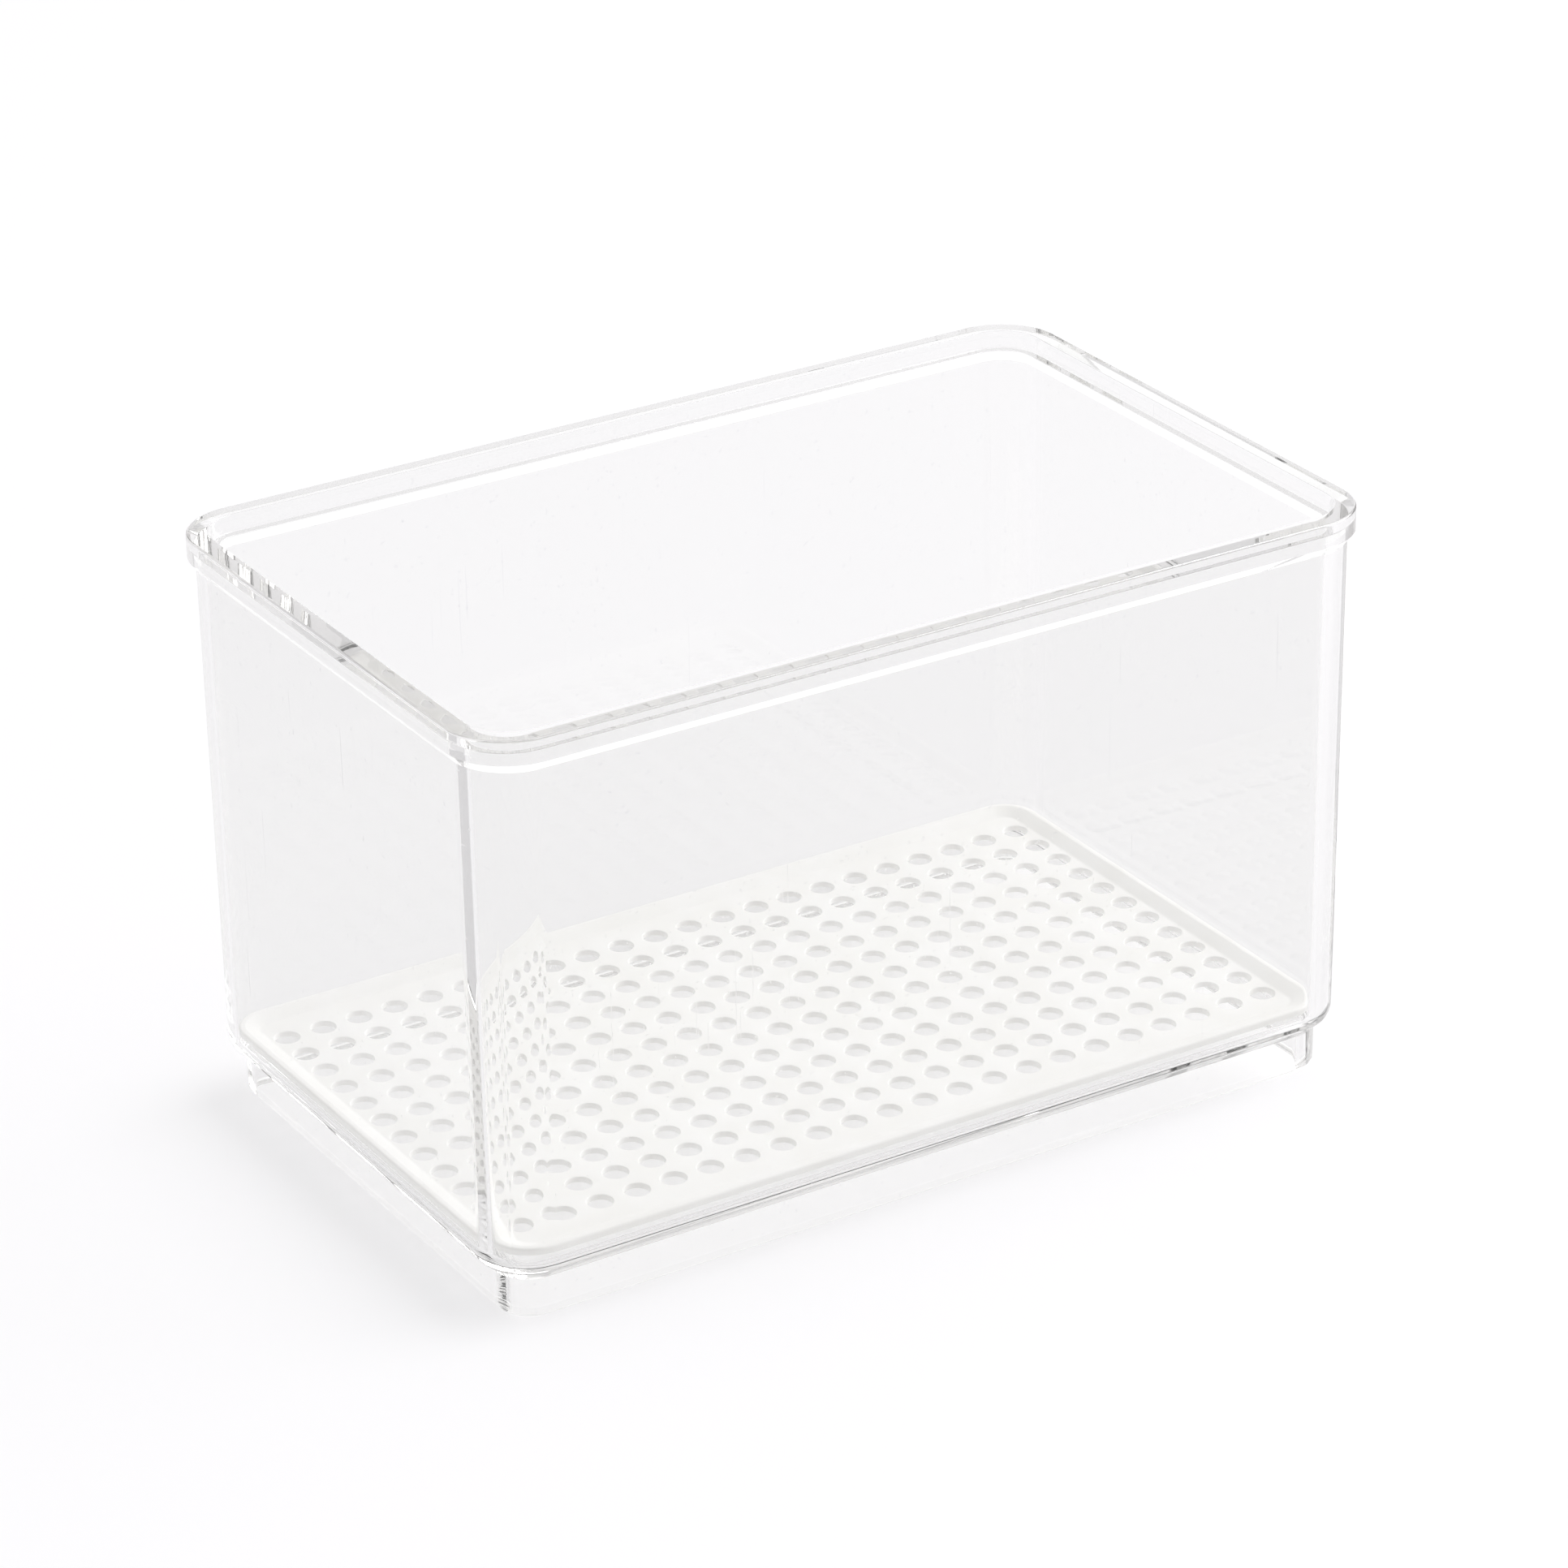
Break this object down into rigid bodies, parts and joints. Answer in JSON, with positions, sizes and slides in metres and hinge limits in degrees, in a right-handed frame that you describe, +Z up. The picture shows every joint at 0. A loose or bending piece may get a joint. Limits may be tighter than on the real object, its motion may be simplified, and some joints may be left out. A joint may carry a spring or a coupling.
{
  "type": "fridge bin",
  "caption": "Open clear rectangular storage bin with a stepped rim, a recessed stacking foot and a white perforated drain tray that lifts out.",
  "frame": {"origin": "centre of the footprint, on the surface that the foot stands on", "axes": "+X along the bin's length, +Y across its width, +Z up through its open top"},
  "size_m": [0.16, 0.1014, 0.0981],
  "materials": {
    "clear_plastic": "clear, colourless and glossy, with fine scuffs",
    "white_plastic": "translucent white with a soft satin sheen"
  },
  "bodies": {
    "bin": {"bin_body": "clear_plastic"},
    "tray": {"drain_tray": "white_plastic"}
  },
  "joints": [
    {"name": "tray_lift", "type": "slide", "parent": "bin", "child": "tray", "axis": [0, 0, 1], "range_m": [0, 0.1]}
  ]
}
